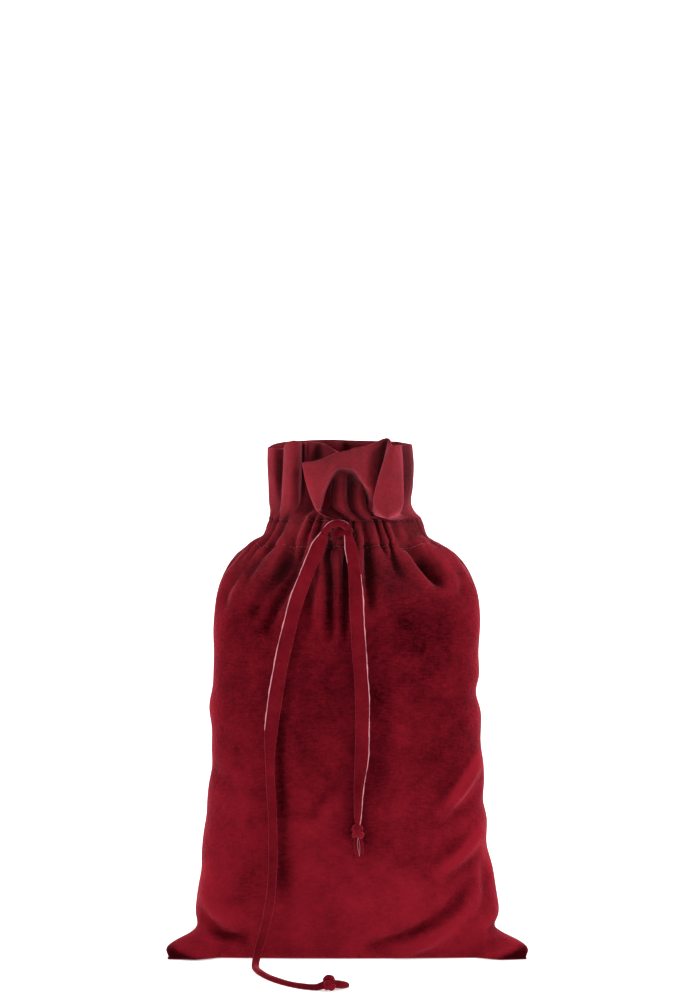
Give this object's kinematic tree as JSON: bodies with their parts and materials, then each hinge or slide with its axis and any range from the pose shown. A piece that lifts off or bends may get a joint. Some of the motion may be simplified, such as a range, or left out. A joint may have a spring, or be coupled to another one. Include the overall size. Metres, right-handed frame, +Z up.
{
  "type": "fabric gift sack",
  "caption": "Velvet gift sack standing filled, its heading gathered by a drawstring channel that is half-knotted in front, with long flat tails ending in knots.",
  "frame": {"origin": "on the floor under the middle of the sack's own box, without the drawstring's tails", "axes": "+Z up to the heading, -Y towards the front where the drawstring is tied, +X to the right seen from the front"},
  "size_m": [0.4, 0.2821, 0.5665],
  "materials": {
    "velvet": "cut-pile velvet, deep burgundy, soft sheen",
    "velvet_inside": "cut-pile velvet turned inside the heading",
    "seam_turning": "raw cut edge of the velvet's woven back",
    "sewing_thread": "fine polyester thread, slightly paler than the cloth",
    "buttonhole_thread": "close worked buttonhole stitch",
    "drawstring_velvet": "folded velvet strip with a pale woven raw edge"
  },
  "bodies": {
    "sack": {"front_panel": "velvet", "back_panel": "velvet", "front_facing": "velvet_inside", "back_facing": "velvet_inside", "left_side_seam": "seam_turning", "right_side_seam": "seam_turning", "bottom_seam": "seam_turning", "channel_top_stitching": "sewing_thread", "channel_bottom_stitching": "sewing_thread", "left_buttonhole": "buttonhole_thread", "right_buttonhole": "buttonhole_thread", "channel_drawstring": "drawstring_velvet", "drawstring_half_knot": "drawstring_velvet"},
    "left_drawstring_tail": {"left_tail": "drawstring_velvet", "left_end_knot": "drawstring_velvet"},
    "right_drawstring_tail": {"right_tail": "drawstring_velvet", "right_end_knot": "drawstring_velvet"}
  },
  "joints": [
    {"name": "left_tail_lift", "type": "hinge", "parent": "sack", "child": "left_drawstring_tail", "pos_m": [-0.024, -0.062, 0.461], "axis": [-1, 0, 0], "range_deg": [0, 70]},
    {"name": "right_tail_lift", "type": "hinge", "parent": "sack", "child": "right_drawstring_tail", "pos_m": [0.001, -0.062, 0.461], "axis": [-1, 0, 0], "range_deg": [0, 70]}
  ]
}
